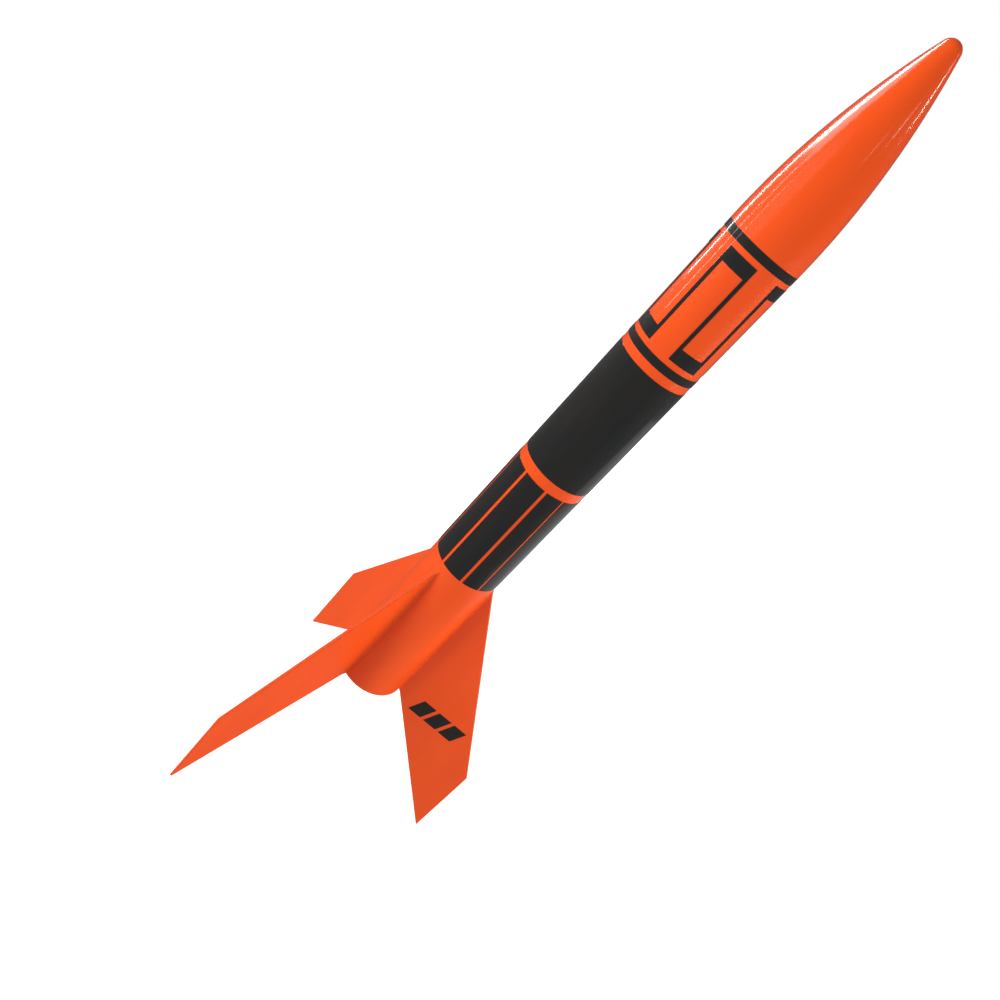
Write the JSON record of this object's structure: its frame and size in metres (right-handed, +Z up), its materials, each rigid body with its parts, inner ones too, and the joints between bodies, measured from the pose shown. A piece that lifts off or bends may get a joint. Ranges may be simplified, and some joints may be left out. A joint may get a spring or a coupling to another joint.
{
  "type": "model rocket",
  "caption": "Orange and black model rocket: pointed ogive nose that slips off, paper body tube, one-piece unit of swept fins, spring hook that holds a slide-in motor.",
  "frame": {"origin": "on the rocket's long axis, in the plane through the lower corners of the fins, on which it stands", "axes": "+Z up the rocket's axis to the nose tip; -Y along one fin; the launch lug and the engine hook are on the +Y side"},
  "size_m": [0.0936, 0.0811, 0.3086],
  "materials": {
    "orange_tube": "gloss-coated spiral-wound paper tube, orange",
    "orange_fins": "moulded styrene, satin orange",
    "orange_nose": "moulded styrene, high gloss orange",
    "black_decal": "satin black self-adhesive film",
    "lug_paper": "waxed white paper straw",
    "kraft_tube": "bare kraft tube",
    "kraft_ring": "die-cut fibre card",
    "band_film": "thin yellow film band",
    "spring_steel": "blued spring steel strip",
    "motor_paper": "convolute-wound motor case paper",
    "motor_clay": "pressed dry clay",
    "motor_propellant": "pressed black powder grain, matt",
    "motor_delay": "pressed delay grain, matt",
    "motor_powder": "loose granular charge, matt",
    "wadding_tissue": "crumpled flame-resistant tissue",
    "canopy_film": "thin polythene film, orange and white gores",
    "line_thread": "braided cotton shroud line",
    "elastic_cord": "round rubber shock cord, off-white",
    "anchor_paper": "folded card tab",
    "cap_plastic": "moulded styrene, unpolished orange"
  },
  "bodies": {
    "airframe": {"body_tube": "orange_tube", "fin_unit": "orange_fins", "launch_lug": "lug_paper", "decal_stripe_panels": "black_decal", "decal_black_band": "black_decal", "decal_lower_ring": "black_decal", "decal_meander": "black_decal", "decal_top_ring": "black_decal", "decal_fin_bars": "black_decal", "motor_mount_tube": "kraft_tube", "thrust_ring": "kraft_ring", "forward_centering_ring": "kraft_ring", "rear_centering_ring": "kraft_ring", "hook_retainer_band": "band_film", "recovery_wadding": "wadding_tissue", "parachute_canopy": "canopy_film", "parachute_lines": "line_thread", "shock_cord_anchor": "anchor_paper", "shock_cord_anchor_run": "elastic_cord", "shock_cord_coil": "elastic_cord"},
    "nose": {"nose_cone": "orange_nose", "nose_base_cap": "cap_plastic", "shock_cord_nose_run": "elastic_cord"},
    "hook": {"engine_hook": "spring_steel"},
    "motor": {"motor_casing": "motor_paper", "motor_nozzle": "motor_clay", "motor_propellant": "motor_propellant", "motor_delay_charge": "motor_delay", "motor_ejection_charge": "motor_powder", "motor_end_cap": "motor_clay"}
  },
  "joints": [
    {"name": "nose_slide", "type": "slide", "parent": "airframe", "child": "nose", "axis": [0, 0, 1], "range_m": [0, 0.06], "deforming": ["shock_cord_nose_run"]},
    {"name": "motor_slide", "type": "slide", "parent": "airframe", "child": "motor", "axis": [0, 0, -1], "range_m": [0, 0.08], "deforming": ["engine_hook"]},
    {"name": "hook_flex", "type": "hinge", "parent": "airframe", "child": "hook", "pos_m": [0, 0.0097, 0.0724], "axis": [1, 0, 0], "range_deg": [0, 3.2], "stiffness_Nm_per_rad": 1.5, "deforming": ["engine_hook"]}
  ]
}
